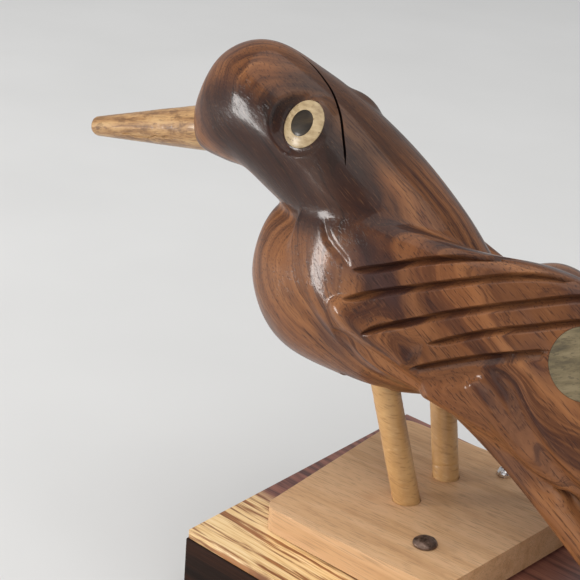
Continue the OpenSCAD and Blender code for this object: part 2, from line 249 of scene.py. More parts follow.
def oval(s, n):
    """An upright ring of n points. Station: x, z, half width, half height above and below, lean
    in degrees, squareness (2 is an ellipse)."""
    a = np.linspace(0, 2 * np.pi, n, endpoint=False)
    high = np.where(np.sin(a) >= 0, s[3], s[4])
    u = s[2] * signed_pow(np.cos(a), 2 / s[6])
    v = high * signed_pow(np.sin(a), 2 / s[6])
    t = math.radians(s[5])
    return np.stack([s[0] - v * math.sin(t), u, s[1] + v * math.cos(t)], 1)


def slab(s, n):
    """A wing's ring of n points. Station: x, y, z, half height, half thickness, lean in degrees,
    squareness."""
    a = np.linspace(0, 2 * np.pi, n, endpoint=False)
    u = s[4] * signed_pow(np.cos(a), 2 / s[6])
    v = s[3] * signed_pow(np.sin(a), 2 / s[6])
    t = math.radians(s[5])
    return np.stack([np.full(n, s[0]), s[1] + u * math.cos(t) - v * math.sin(t),
                     s[2] + u * math.sin(t) + v * math.cos(t)], 1)


def skin(rings):
    """Vertices and faces of a closed skin over rings with the same number of points."""
    k, n = len(rings), len(rings[0])
    verts = np.concatenate(rings)
    faces = []
    for i in range(k - 1):
        for j in range(n):
            a, b = i * n + j, i * n + (j + 1) % n
            faces.append((a, b, b + n, a + n))
    faces.append(tuple(range(n - 1, -1, -1)))
    faces.append(tuple(range((k - 1) * n, k * n)))
    return verts, faces


def make_object(name, verts, faces, look=None):
    mesh = bpy.data.meshes.new(name)
    mesh.from_pydata([tuple(v) for v in verts], [], faces)
    mesh.validate()
    bm = bmesh.new()
    bm.from_mesh(mesh)
    bmesh.ops.recalc_face_normals(bm, faces=bm.faces)
    bm.to_mesh(mesh)
    bm.free()
    ob = bpy.data.objects.new(name, mesh)
    scene.collection.objects.link(ob)
    if look is not None:
        mesh.materials.append(look.mat)
    return ob


def baked(ob):
    """Replaces the object's mesh by the mesh that its modifiers make."""
    bpy.context.view_layer.update()
    graph = bpy.context.evaluated_depsgraph_get()
    made = bpy.data.meshes.new_from_object(ob.evaluated_get(graph), depsgraph=graph)
    old = ob.data
    ob.modifiers.clear()
    ob.data = made
    made.name = ob.name
    bpy.data.meshes.remove(old)
    return ob


def cut(ob, cutters):
    """Takes the cutters out of the object, and removes them."""
    for tool in cutters:
        m = ob.modifiers.new("cut", "BOOLEAN")
        m.operation = "DIFFERENCE"
        m.solver = "MANIFOLD"
        m.object = tool
    baked(ob)
    for tool in cutters:
        bpy.data.objects.remove(tool)


def smooth_shading(ob, degrees):
    """Smooth faces, with sharp edges where two faces meet at more than this angle."""
    bm = bmesh.new()
    bm.from_mesh(ob.data)
    limit = math.radians(degrees)
    for f in bm.faces:
        f.smooth = True
    for e in bm.edges:
        e.smooth = len(e.link_faces) != 2 or e.calc_face_angle(0.0) < limit
    bm.to_mesh(ob.data)
    bm.free()
    return ob


def finished(ob, body, slot_name, *nodes):
    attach(ob, body)
    if nodes:
        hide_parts(*nodes)


def wobble(p, scale, seed):
    """Smooth noise between about -1 and 1 at a place."""
    return noise.noise(Vector(p) * scale + Vector((seed, seed * 1.7, -seed)))


# ---------------------------------------------------------------- the bird's body

# the stations of the body's masses, for oval()
HEAD = [
    [87, 43, 7, 9.5, 6, -18, 2],
    [84, 45, 11, 15, 8.5, -16, 2],
    [76, 50, 14.5, 22, 14, -12, 2],
    [65, 54.5, 17, 23, 18.5, -4, 2],
    [51, 53, 18, 20.5, 21.5, 8, 2],
    [35, 47.5, 18.5, 19.5, 22, 18, 2.1],
    [17, 38.5, 19.5, 18.5, 22, 24, 2.1],
    [-3, 28, 16.5, 16.5, 20, 25, 2],
    [-20, 21, 12, 10, 18, 24, 2]]
BREAST = [
    [57.5, 10, 4, 7, 5, 0, 2],
    [56, 10, 8.5, 14, 9.5, 0, 2],
    [52, 11, 15.5, 20, 15, 2, 2],
    [43, 11, 21.5, 24, 24, 6, 2],
    [29, 12, 25.5, 27, 28.5, 12, 2.2],
    [11, 12, 27, 25, 28.5, 14, 2.3],
    [-9, 9, 26.5, 19, 23.5, 16, 2.3],
    [-29, 6, 23, 17, 13, 20, 2.3]]
TAIL = [
    [-15, 5, 23, 12, 12.5, 18, 2.4],
    [-31, -0.5, 22.5, 9, 8.5, 28, 2.8],
    [-51, -11.3, 22.5, 6.5, 5.5, 31, 3.4],
    [-79, -28.8, 23.5, 5.5, 5.2, 32, 3.6],
    [-110, -51.5, 24.5, 4.5, 4.5, 34, 3.6]]
RUMP = [
    [-20, 14, 18, 17, 20, 24, 2.2],
    [-45, 2, 17, 16, 17, 31, 2.4],
    [-70, -14, 16, 13, 13, 33, 2.6],
    [-92, -32, 15, 8, 8, 34, 2.8],
    [-106, -45, 12, 4, 4, 34, 2.8]]
BACK = [
    [2, 22, 15, 9, 12, 14, 2],
    [-12, 20, 19, 12, 14, 14, 2],
    [-21, 18, 20, 13.5, 14, 12, 2.1],
    [-30, 17, 20.5, 17.5, 14, 8, 2.1],
    [-40, 16, 20.5, 22.5, 14, 8, 2.1],
    [-50, 13.5, 19.5, 22.5, 14, 10, 2.1],
    [-62, 9, 17.5, 18, 13, 18, 2.1],
    [-74, 1, 15, 16.5, 11, 26, 2.1],
    [-85, -8, 12, 12, 8, 30, 2.1],
    [-92, -14, 8, 8, 6, 30, 2.1]]
# the stations of the wings, for slab(); the right one sits lower, and is mirrored when used
FAR_WING = [
    [33, 15, 28, 10, 6, 18, 3],
    [17, 17.2, 24.3, 16.3, 8, 19, 3.4],
    [-3, 19.6, 16.3, 15.8, 8, 19, 3.4],
    [-25, 18, 10.8, 14.8, 8, 18, 3.4],
    [-47, 14.5, 10, 19, 7, 16, 3.8],
    [-65, 13, 5.5, 19, 6.5, 15, 4],
    [-80, 11.6, -0.5, 17, 6, 13, 3.8],
    [-91, 10.4, -7.5, 12.5, 5, 11, 3.5],
    [-98, 9.5, -12, 7.5, 3.5, 10, 3],
    [-101, 9.3, -15, 3, 2, 10, 3]]
WING = [
    [33, 15, 28, 10, 6, 18, 3],
    [17, 17, 25, 17, 8, 19, 3.5],
    [-3, 18, 21, 20.5, 8, 19, 4],
    [-25, 15.5, 18.2, 22, 8, 18, 4],
    [-47, 12.5, 16.5, 25, 7, 16, 4.5],
    [-65, 11, 12, 25.5, 6.5, 15, 4.5],
    [-80, 10.5, 3.5, 21, 6, 13, 4],
    [-91, 10, -5.5, 14.5, 5, 11, 3.5],
    [-98, 9.5, -11.5, 8, 3.5, 10, 3],
    [-101, 9.3, -15, 3, 2, 10, 3]]

# the carved feather lines of the left wing: path, width below and above it, depth
FEATHERS = [
    ([(6, 24.6, 27.4), (-4, 22.5, 31.2), (-12, 20, 35.1), (-20, 17.2, 37.8), (-27, 14.2, 40.2),
      (-33, 11, 42), (-37, 7, 44), (-40, 2, 45)], 1.9, 0.9, 1.7),
    ([(6, 27.2, 18.7), (-2, 25.7, 23.3), (-10, 23.4, 26.7), (-17, 21.3, 29.5), (-27, 18.1, 33.6),
      (-38, 14.5, 37.8), (-47, 11.7, 40.3), (-56, 8, 42.5)], 1.9, 0.9, 1.5),
    ([(-3.5, 28.8, 12.7), (-10.5, 26.7, 16.7), (-17, 24.8, 20), (-26, 21.6, 24.6),
      (-37, 17.9, 29.3), (-48, 14.5, 33.7), (-58, 11.2, 37.8), (-68, 8, 41.5)], 1.9, 0.9, 1.5),
    ([(-22.5, 25, 14.8), (-31, 22.4, 19.3), (-39, 19.5, 23.3), (-50, 16.1, 27.6), (-60, 13.1, 31.7),
      (-72, 10.5, 36)], 1.7, 0.9, 1.4),
    ([(-19.5, 28, 7), (-26, 25.9, 10.2), (-33, 23.6, 13.6), (-44, 20, 18.2), (-56, 16.5, 22.8)],
     2.8, 0.9, 1.7)]
# softer strokes on both sides: path, width below and above, depth (negative stands proud)
SOFT_STROKES = [
    ([(22, 20, 37.5), (18.3, 22.1, 33.2), (12.7, 23.5, 30.4), (6.2, 24.6, 27.6)], 1.8, 1.8, 0.6),
    ([(10, 28, 17.5), (3.9, 28.7, 14.3), (-5.2, 28.5, 12.9), (-13.2, 27.9, 11.3),
      (-21.5, 27.6, 7.2)], 4, 8, -1.8),
    ([(8, 29, 9), (-1.2, 29.6, 7.5), (-10.1, 29.2, 6), (-18.5, 28.2, 3.2), (-26, 26.5, 1)],
     7.5, 3.8, 2.2),
    ([(-21, 27.8, 3.6), (-28.3, 25.9, 6), (-35, 24, 9.3), (-40.5, 22.5, 12.2)], 3.5, 2.5, 1.1),
    ([(-36, 24, 9), (-41.6, 23.6, 5.5), (-48.7, 23.7, -0.6), (-57.2, 22.7, -7.5), (-72, 20.6, -17)],
     4, 4, -1.3),
    ([(-42, 22, 13.5), (-48, 21.1, 10.7), (-51.7, 21.6, 6), (-58.6, 22.2, -1.2), (-66, 21.8, -7.4),
      (-84, 18, -19)], 3, 3.4, 1.4)]
CRACK = [(55, -3, 75), (49, -2.1, 73.5), (42, 0.6, 71.6), (36.6, 2.8, 69.2), (31.5, 5.8, 66.4),
         (28.1, 8.1, 64), (24.3, 11.2, 59.8), (21.1, 13.8, 56.3), (19, 15.5, 52.5)]


def mirrored(rings):
    """The rings on the other side of the bird's middle, in the order that keeps them outward."""
    return [r[::-1] * np.array([1, -1, 1]) for r in rings]


def bird_blank():
    """The bird's masses as one closed skin, before any carving."""
    sides, steps = 64, 8
    parts = [skin([oval(s, sides) for s in curve_through(t, steps)])
             for t in (HEAD, BREAST, TAIL, RUMP, BACK)]
    near, far = ([slab(s, sides) for s in curve_through(t, steps)] for t in (WING, FAR_WING))
    parts += [skin(near), skin(mirrored(far))]
    verts, faces = [], []
    for v, f in parts:
        first = sum(len(x) for x in verts)
        verts.append(v)
        faces += [tuple(i + first for i in g) for g in f]
    verts = np.concatenate(verts) * MM + np.array(AXLE)
    ob = make_object("bird", verts, faces)
    m = ob.modifiers.new("one_skin", "REMESH")
    m.mode = "VOXEL"
    m.voxel_size = VOXEL
    return baked(ob)


def arrays(mesh):
    """The mesh's places and its edges, as arrays."""
    co = np.empty(len(mesh.vertices) * 3)
    mesh.vertices.foreach_get("co", co)
    ed = np.empty(len(mesh.edges) * 2, int)
    mesh.edges.foreach_get("vertices", ed)
    return co.reshape(-1, 3), ed.reshape(-1, 2)


def normals(mesh):
    no = np.empty(len(mesh.vertices) * 3)
    mesh.vertices.foreach_get("normal", no)
    return no.reshape(-1, 3)


def store(mesh, co):
    mesh.vertices.foreach_set("co", co.ravel())
    mesh.update()


def averaged(values, ed, count):
    """Each vertex's mean over its neighbours."""
    out = np.empty_like(values)
    degree = np.bincount(ed.ravel(), minlength=count)
    for k in range(values.shape[1]):
        total = np.bincount(ed[:, 0], values[ed[:, 1], k], count)
        total += np.bincount(ed[:, 1], values[ed[:, 0], k], count)
        out[:, k] = total / np.maximum(degree, 1)
    return out


def relax(mesh, rounds, weight=None):
    """Moves each vertex half-way to its neighbours' mean, or less where the weight is less."""
    co, ed = arrays(mesh)
    w = 0.5 if weight is None else 0.5 * weight[:, None]
    for _ in range(rounds):
        co += w * (averaged(co, ed, len(co)) - co)
    store(mesh, co)


def soften_hollows(mesh, rounds):
    """Smooths the inner corners where two masses meet, as a rasp and paper would."""
    co, ed = arrays(mesh)
    no = normals(mesh)
    gain, spread, fill = 40.0, 8, 1.5
    hollow = ((averaged(co, ed, len(co)) - co) * no).sum(1) / VOXEL
    w = np.clip(hollow * gain, 0, 1)[:, None]
    for _ in range(spread):
        w = np.maximum(w, averaged(w, ed, len(co)))
    relax(mesh, rounds, np.clip(w * fill, 0, 1)[:, 0])


def tree_of(ob):
    return BVHTree.FromPolygons([v.co for v in ob.data.vertices],
                                [tuple(p.vertices) for p in ob.data.polygons])


def on_surface(points, tree):
    """A smooth path through the points (millimetres from the axle), laid on the surface."""
    steps, snaps, passes = 12, 4, 6
    path = curve_through(points, steps) * MM + np.array(AXLE)
    for _ in range(snaps):
        path = np.array([tree.find_nearest(Vector(p))[0] for p in path])
        for _ in range(passes):
            path[1:-1] = (path[:-2] + 2 * path[1:-1] + path[2:]) / 4
    return np.array([tree.find_nearest(Vector(p))[0] for p in path])


def along_path(co, path):
    """For each point: distance to the path, how far along it (0 to 1), and the nearest place on
    it; then the path's length."""
    a, d = path[:-1], np.diff(path, axis=0)
    length = np.linalg.norm(d, axis=1)
    start = np.concatenate([[0], np.cumsum(length)])
    best = np.full(len(co), np.inf)
    at = np.zeros(len(co))
    place = np.zeros_like(co)
    for i in range(len(d)):
        if length[i] < 1e-7:
            continue
        t = np.clip(((co - a[i]) @ d[i]) / length[i] ** 2, 0, 1)
        q = a[i] + t[:, None] * d[i]
        r = np.linalg.norm(co - q, axis=1)
        new = r < best
        best[new], place[new] = r[new], q[new]
        at[new] = (start[i] + t[new] * length[i]) / start[-1]
    return best, at, place, start[-1]


def refine(mesh, paths, reach, rounds):
    """Splits the faces near the paths, so that fine cuts have enough points."""
    for _ in range(rounds):
        co = arrays(mesh)[0]
        close = np.zeros(len(co), bool)
        for path in paths:
            box = ((co > path.min(0) - reach) & (co < path.max(0) + reach)).all(1)
            i = np.where(box)[0]
            if len(i):
                close[i] |= along_path(co[i], path)[0] < reach
        bm = bmesh.new()
        bm.from_mesh(mesh)
        bm.verts.ensure_lookup_table()
        edges = [e for e in bm.edges if close[e.verts[0].index] and close[e.verts[1].index]]
        bmesh.ops.subdivide_edges(bm, edges=edges, cuts=1, use_grid_fill=True)
        bm.to_mesh(mesh)
        bm.free()


def shape_along(mesh, strokes, mark=None):
    """Works the skin along paths. A stroke is a path, the width below it and above it, the depth
    (negative raises a ridge), the length over which it starts, and whether its floor is a sharp V.
    It ends over half that length. Where strokes meet, the deeper one counts."""
    co, _ = arrays(mesh)
    no = normals(mesh)
    deep = np.zeros(len(co))
    for path, below, above, depth, taper, sharp in strokes:
        reach = max(below, above) * 1.1
        box = ((co > path.min(0) - reach) & (co < path.max(0) + reach)).all(1)
        i = np.where(box)[0]
        r, at, place, length = along_path(co[i], path)
        high = (co[i] - place)[:, 2] > 0
        width = np.where(high, above, below)
        start = np.clip(at * length / taper, 0, 1)
        end = np.clip((1 - at) * length / (0.5 * taper), 0, 1)
        size = np.sqrt(start * (2 - start)) * end
        v = np.clip(1 - r / np.maximum(width * np.maximum(size, 0.05), 1e-6), 0, 1)
        if not sharp:
            v = v * v * (3 - 2 * v)
        press = depth * size * v
        deep[i] = np.where(np.abs(press) > np.abs(deep[i]), press, deep[i])
    store(mesh, co - no * deep[:, None])
    if mark:
        layer = mesh.attributes.new(mark, "FLOAT", "POINT")
        layer.data.foreach_set("value", np.clip(deep / MM, 0, 1))


def dome_at(mesh, frame_m, flat, fade, radius):
    """Rasps the skin to a dome around a place: fully within flat, fading out at fade. Metres."""
    co, _ = arrays(mesh)
    m = np.array(frame_m)
    inv = np.array(frame_m.inverted())
    local = co @ inv[:3, :3].T + inv[:3, 3]
    r = np.hypot(local[:, 0], local[:, 1])
    near = (r < fade) & (np.abs(local[:, 2]) < 0.6 * radius)
    w = np.clip((fade - r[near]) / (fade - flat), 0, 1)
    w = w * w * (3 - 2 * w)
    dome = np.sqrt(radius ** 2 - r[near] ** 2) - radius
    local[near, 2] += w * (dome - local[near, 2])
    store(mesh, local @ m[:3, :3].T + m[:3, 3])


def cylinder(name, radius, low, high, matrix):
    sides = 64
    a = np.linspace(0, 2 * np.pi, sides, endpoint=False)
    ring = radius * np.stack([np.cos(a), np.sin(a)], 1)
    verts, faces = skin([np.column_stack([ring, np.full(sides, z)]) for z in (low, high)])
    ob = make_object(name, verts, faces)
    ob.data.transform(matrix)
    return ob


def facing(place, turn, tilt, flip):
    """A frame whose Z points out of the bird's side: turn is forward, tilt is up. flip gives the
    right side."""
    m = (Matrix.Translation(Vector(place) * MM) @ Matrix.Rotation(math.radians(-turn), 4, "Z")
         @ Matrix.Rotation(math.radians(tilt), 4, "X") @ Matrix.Rotation(math.radians(-90), 4, "X"))
    if flip:
        m = Matrix.Scale(-1, 4, (0, 1, 0)) @ m
    return Matrix.Translation(AXLE) @ m


# place, turn and tilt of the eyes, and of the left (False) and right (True) flank inlays
EYE = ((37.7, 14.5, 61), 6, 28.5)
INLAYS = {False: ((-65.5, 15.5, 22), -8, 15), True: ((-65.5, 18.7, 9), -8, 15)}
EYE_DOME_R, EYE_FLAT_R, EYE_FADE_R = 20, 7.6, 10.5
EYE_RING_R, EYE_RING_BORE_R, PUPIL_R, EYE_DEEP = 7.4, 4.1, 4.02, 3.0
INLAY_R, INLAY_DEEP = 10.0, 3.5
SEAT_PLAY, SEAT_TOP = 0.1, 8
BEAK_ROOT, BEAK_SLOPE, BEAK_D, BEAK_TIP_D, BEAK_L = (90, 0, 43.3), 14, 15, 6.4, 54
BEAK_SEAT, TENON_R, TENON_L = 4.0, 4.5, 14.0
LEG_LEAN, LEG_SPLAY, LEG_R, LEG_Y, DIP = 15, 6, 4.3, 15.36, 45
SLOT_PLAY, SLOT_SIDE_PLAY, SLOT_REACH, HUB_R = 0.6, 0.2, 40.0, 8.4
AXLE_R, AXLE_PLAY, LEG_OVER = 1.5, 0.08, 6.5
beak_frame = (Matrix.Translation(AXLE) @ Matrix.Translation(Vector(BEAK_ROOT) * MM)
              @ Matrix.Rotation(math.radians(90 + BEAK_SLOPE), 4, "Y"))


def leg_frame(flip):
    """A frame at the axle whose Z points up the leg."""
    m = (Matrix.Translation((0, LEG_Y * MM, 0)) @ Matrix.Rotation(math.radians(LEG_LEAN), 4, "Y")
         @ Matrix.Rotation(math.radians(-LEG_SPLAY), 4, "X"))
    if flip:
        m = Matrix.Scale(-1, 4, (0, 1, 0)) @ m
    return Matrix.Translation(AXLE) @ m


def slot_cutters(flip):
    """The belly slot that one leg swings in: a fan-shaped prism and a round pocket for the leg's
    top."""
    r = LEG_R + SLOT_PLAY
    room = r / math.cos(math.radians(LEG_SPLAY)) + SLOT_SIDE_PLAY
    shear = 1.05 * math.tan(math.radians(LEG_SPLAY))  # a little more, as the leg also leans
    rim = []
    for lean in (LEG_LEAN, LEG_LEAN - DIP):
        t = math.radians(lean)
        out = Vector((-math.sin(t), -math.cos(t)))
        side_way = Vector((-math.cos(t), math.sin(t))) * (1 if lean > 0 else -1)
        rim.append((side_way * r, out * SLOT_REACH + side_way * r))
    low = Vector((0.12, -1)).normalized() * (SLOT_REACH + 8)  # between the two, below the belly
    fan = [rim[0][0], rim[0][1], low, rim[1][1], rim[1][0]]
    hub = [HUB_R * Vector((math.cos(a), math.sin(a)))
           for a in np.linspace(0, 2 * np.pi, 40, endpoint=False)]
    tools = []
    for name, outline in (("fan", fan), ("hub", hub)):
        rings = [np.array([(p[0], LEG_Y + s * room + shear * p[1], p[1]) for p in outline])
                 for s in (-1, 1)]
        if flip:
            rings = mirrored(rings)
        verts, faces = skin(rings)
        tools.append(make_object(name, verts * MM + np.array(AXLE), faces))
    return tools


def wood_disc(name, look, frame_m, tree, outer, inner, depth, rise):
    """A plug or ring set in the bird: its face follows the carved surface, its walls go straight
    in. Sizes in millimetres; inner 0 makes a plug."""
    n, steps = 96, 10
    above, worn_edge, hub = 6, 0.05, 0.02
    radii = np.linspace(inner or hub, outer, steps + 1)
    out_dir = (frame_m.to_3x3() @ Vector((0, 0, 1))).normalized()
    verts, faces = [], []

    def place(r, j, z):
        a = 2 * math.pi * j / n
        return frame_m @ Vector((r * math.cos(a) * MM, r * math.sin(a) * MM, z * MM))

    def wall_foot(r):
        verts.extend(place(r, j, -depth) for j in range(n))
        return len(verts) - n

    def band(a, b):
        for j in range(n):
            k = (j + 1) % n
            faces.append((a + j, a + k, b + k, b + j))

    for i, r in enumerate(radii):
        edge = worn_edge if (i == steps or (inner and i == 0)) else 0.0
        for j in range(n):
            hit = tree.ray_cast(place(r, j, above), -out_dir)[0] or place(r, j, 0)
            verts.append(hit + out_dir * (rise - edge) * MM)
    for i in range(steps):
        band(i * n, (i + 1) * n)
    low_out = wall_foot(outer)
    band(steps * n, low_out)
    if inner:
        low_in = wall_foot(inner)
        band(low_out, low_in)
        band(low_in, 0)
    else:
        faces.append(tuple(range(low_out, low_out + n)))
        faces.append(tuple(range(n - 1, -1, -1)))
    ob = make_object(name, verts, faces, look)
    return smooth_shading(ob, 40)

# ---------------------------------------------------------------- materials

GRAIN_SLOPE = 32.0  # degrees, near the tail's slope


def mm_from_axle(look, x, y, z):
    """Object place with its origin moved to a point given in millimetres from the axle."""
    return look.mapped(shift=-(AXLE + Vector((x, y, z)) * MM))


def blob(look, place, radii, turn, soft=(0.6, 1.1), ripple=0.25):
    """1 inside a soft oval region around a place, 0 outside. Radii in millimetres, turn in
    degrees."""
    v = look.mapped(turn=(0, turn, 0), scale=[1000.0 / r for r in radii],
                    source=mm_from_axle(look, *place))
    n = node(look.tree, "ShaderNodeVectorMath", operation="LENGTH")
    look.link(v, n.inputs[0])
    wave = look.noise(look.mapped(scale=(60, 90, 90)), 1.0, 3.0)
    wave = look.math("MULTIPLY", look.math("SUBTRACT", wave, 0.5), ripple)
    d = look.math("ADD", n.outputs["Value"], wave)
    half = [(soft[0] / 2, 1.0), (soft[1] / 2, 0.0)]
    return look.ramp(look.math("MULTIPLY", d, 0.5), half, smooth=True)


def rosewood_look(name="rosewood_look", dark_zone=True):
    """Streaky red-brown wood under varnish, its growth sheets upright along the bird."""
    k = Look(name, Roughness=0.45, Coat_Weight=0.42, Coat_Roughness=0.10, Coat_IOR=1.4,
             Specular_IOR_Level=0.08)
    turn = (0, GRAIN_SLOPE, 0)
    warp = k.noise(k.mapped(turn=turn, scale=(14, 26, 26)), 1.0, 3.0)
    sheets = k.axes(k.mapped(turn=turn, scale=(6, 1, 1)))
    depth = k.math("ADD", k.math("MULTIPLY", sheets[1], 250.0),
                   k.math("MULTIPLY", sheets[2], 150.0))
    depth = k.math("ADD", depth, k.math("MULTIPLY", warp, 3.6))
    rings = k.noise(k.join(sheets[0], depth, k.math("MULTIPLY", sheets[2], 10.0)), 1.0, 5.0, 0.62)
    base = k.ramp(rings, [
        (0.27, (0.018, 0.008, 0.006)), (0.37, (0.055, 0.019, 0.010)), (0.44, (0.130, 0.048, 0.018)),
        (0.53, (0.205, 0.080, 0.030)), (0.62, (0.265, 0.110, 0.042)), (0.72, (0.120, 0.042, 0.020)),
        (0.80, (0.042, 0.017, 0.012))])
    lines = k.noise(k.join(k.math("MULTIPLY", sheets[0], 1.5), k.math("MULTIPLY", depth, 4.5),
                           k.math("MULTIPLY", sheets[2], 60.0)), 1.0, 4.0, 0.6)
    line_mask = k.ramp(lines, [(0.34, 1.0), (0.47, 0.0)], smooth=True)
    base = k.mix(k.math("MULTIPLY", line_mask, 0.6), base, (0.040, 0.013, 0.008))
    patch = k.noise(k.mapped(turn=turn, scale=(22, 60, 48)), 1.0, 2.0)
    purple = k.ramp(patch, [(0.52, 0.0), (0.64, 1.0)], smooth=True)
    base = k.mix(k.math("MULTIPLY", purple, 0.55), base, (0.050, 0.023, 0.021))
    warm = k.ramp(patch, [(0.34, 1.0), (0.48, 0.0)], smooth=True)
    base = k.mix(k.math("MULTIPLY", warm, 0.3), base, (0.25, 0.088, 0.030))
    if dark_zone:
        throat = blob(k, (42, 0, 49), (39, 60, 15), 14.0, (0.8, 1.25), 0.5)
        nape = blob(k, (30, 0, 66), (27, 60, 15), 28.0, (0.6, 1.3), 0.6)
        hollow = blob(k, (-2, 24, 30), (18, 30, 7), 20.0, (0.4, 1.3), 0.9)
        shade = k.mix(line_mask, (0.026, 0.009, 0.006), (0.010, 0.005, 0.004))
        base = k.mix(k.math("MULTIPLY", throat, 0.90), base, shade)
        base = k.mix(k.math("MULTIPLY", nape, 0.65), base, (0.026, 0.016, 0.013))
        base = k.mix(k.math("MULTIPLY", hollow, 0.3), base, (0.045, 0.023, 0.021))
    pores = k.noise(k.mapped(turn=turn, scale=(150, 2300, 2300)), 1.0, 2.0, 0.6)
    pore_mask = k.ramp(pores, [(0.36, 1.0), (0.43, 0.0)])
    base = k.mix(k.math("MULTIPLY", pore_mask, 0.6), base, (0.020, 0.008, 0.006))
    fleck = k.ramp(pores, [(0.60, 0.0), (0.70, 1.0)])
    base = k.mix(k.math("MULTIPLY", fleck, 0.16), base, (0.30, 0.14, 0.06))
    if dark_zone:
        base = k.mix(k.math("MULTIPLY", k.attribute("groove"), 0.6), base, (0.022, 0.007, 0.004))
        crack = k.math("MULTIPLY", k.attribute("crack"), 6.0, clamp=True)
        base = k.mix(crack, base, (0.004, 0.002, 0.002))
    k.colour(base)
    smear = k.noise(k.place, 160.0, 3.0)
    k.rough(k.ramp(smear, [(0.3, 0.34), (0.7, 0.52)]))
    sand = k.noise(k.mapped(turn=turn, scale=(110, 420, 420)), 1.0, 2.0)
    dust = k.noise(k.place, 2600.0, 1.0)
    height = k.math("ADD", k.math("MULTIPLY", sand, 1.0), k.math("MULTIPLY", pore_mask, -0.55))
    height = k.math("ADD", height, k.math("MULTIPLY", dust, 0.16))
    k.bump(height, 0.055, 0.5, coat=True)
    return k


def banded_wood(name, stops, axis_scale, ring_scale, pore, coat=0.0, rough=(0.45, 0.6),
                bump_mm=0.03, stain=None, shine=0.2):
    """Plain straight-grained wood whose grain runs along X. stain: scale, amount and colour."""
    k = Look(name, Coat_Weight=coat, Coat_Roughness=0.2, Specular_IOR_Level=shine)
    v = k.mapped(scale=(axis_scale, ring_scale, ring_scale))
    bands = k.noise(v, 1.0, 5.0, 0.6, 0.4)
    base = k.ramp(bands, stops)
    fibres = k.noise(k.mapped(scale=(90, 2600, 2600)), 1.0, 2.0)
    mask = k.ramp(fibres, [(0.36, 1.0), (0.46, 0.0)])
    dark = [0.45 * c for c in stops[len(stops) // 2][1]]
    base = k.mix(k.math("MULTIPLY", mask, pore), base, dark)
    if stain:
        spots = k.ramp(k.noise(k.place, stain[0], 3.0), [(0.55, 0.0), (0.7, 1.0)], smooth=True)
        base = k.mix(k.math("MULTIPLY", spots, stain[1]), base, stain[2])
    k.colour(base)
    k.rough(k.ramp(fibres, [(0.3, rough[1]), (0.7, rough[0])]))
    coarse = k.noise(k.mapped(scale=(60, 900, 900)), 1.0, 3.0)
    k.bump(k.math("ADD", coarse, k.math("MULTIPLY", mask, -0.5)), bump_mm, 0.6)
    return k


def striped_look():
    """The base's top: pale yellow wood with short brown streaks, and a purple-brown heart on its
    far side."""
    k = Look("striped_look", Coat_Weight=0.35, Coat_Roughness=0.25)
    v = k.axes()
    bend = k.noise(k.mapped(scale=(12, 30, 30)), 1.0, 2.0)
    y = k.math("ADD", v[1], k.math("MULTIPLY", k.math("SUBTRACT", bend, 0.5), 0.006))
    stretch = k.join(k.math("MULTIPLY", v[0], 24.0), k.math("MULTIPLY", y, 420.0),
                     k.math("MULTIPLY", v[2], 300.0))
    streak = k.noise(stretch, 1.0, 4.0, 0.6)
    fibre = k.join(k.math("MULTIPLY", v[0], 60.0), k.math("MULTIPLY", y, 1700.0), 0.0)
    fine = k.noise(fibre, 1.0, 3.0, 0.6)
    pale = k.ramp(fine, [
        (0.3, (0.62, 0.36, 0.14)), (0.5, (0.86, 0.60, 0.29)), (0.7, (0.93, 0.70, 0.40))])
    brown = k.ramp(fine, [(0.35, (0.20, 0.070, 0.020)), (0.6, (0.40, 0.17, 0.055))])
    mask = k.ramp(streak, [(0.47, 0.0), (0.56, 1.0)], smooth=True)
    base = k.mix(mask, pale, brown)
    heart_fine = k.ramp(k.noise(stretch, 1.0, 5.0, 0.65), [
        (0.35, (0.36, 0.15, 0.10)), (0.5, (0.23, 0.085, 0.060)), (0.62, (0.10, 0.035, 0.028))])
    sway = k.math("SUBTRACT", k.noise(k.mapped(scale=(20, 90, 90)), 1.0, 3.0), 0.5)
    edge = k.math("ADD", y, k.math("MULTIPLY", sway, 0.012))
    heart = k.ramp(k.math("MULTIPLY", edge, 10.0), [(0.18, 1.0), (0.30, 0.0)], smooth=True)
    base = k.mix(heart, base, heart_fine)
    k.colour(base)
    k.rough(k.ramp(fine, [(0.3, 0.5), (0.7, 0.36)]))
    k.bump(k.math("ADD", fine, k.math("MULTIPLY", streak, 0.6)), 0.06, 0.6)
    return k


rosewood = rosewood_look()
plug_wood = rosewood_look("plug_look", dark_zone=False)
dark_wood = banded_wood("dark_rosewood_look", [
    (0.3, (0.007, 0.004, 0.003)), (0.5, (0.017, 0.008, 0.005)), (0.62, (0.034, 0.013, 0.007)),
    (0.75, (0.012, 0.006, 0.004))],
    9, 240, 0.6, 0.0, (0.5, 0.65), bump_mm=0.05, shine=0.1)
pale_wood = banded_wood("pale_wood_look", [
    (0.28, (0.50, 0.285, 0.140)), (0.45, (0.62, 0.375, 0.195)), (0.58, (0.68, 0.430, 0.240)),
    (0.75, (0.57, 0.330, 0.165))],
    12, 210, 0.42, 0.12, (0.42, 0.58), bump_mm=0.04, stain=(55.0, 0.3, (0.45, 0.24, 0.11)))
plain_wood = banded_wood("plain_wood_look", [
    (0.3, (0.42, 0.27, 0.13)), (0.55, (0.56, 0.38, 0.20)), (0.75, (0.46, 0.29, 0.14))],
    10, 160, 0.3)
striped = striped_look()


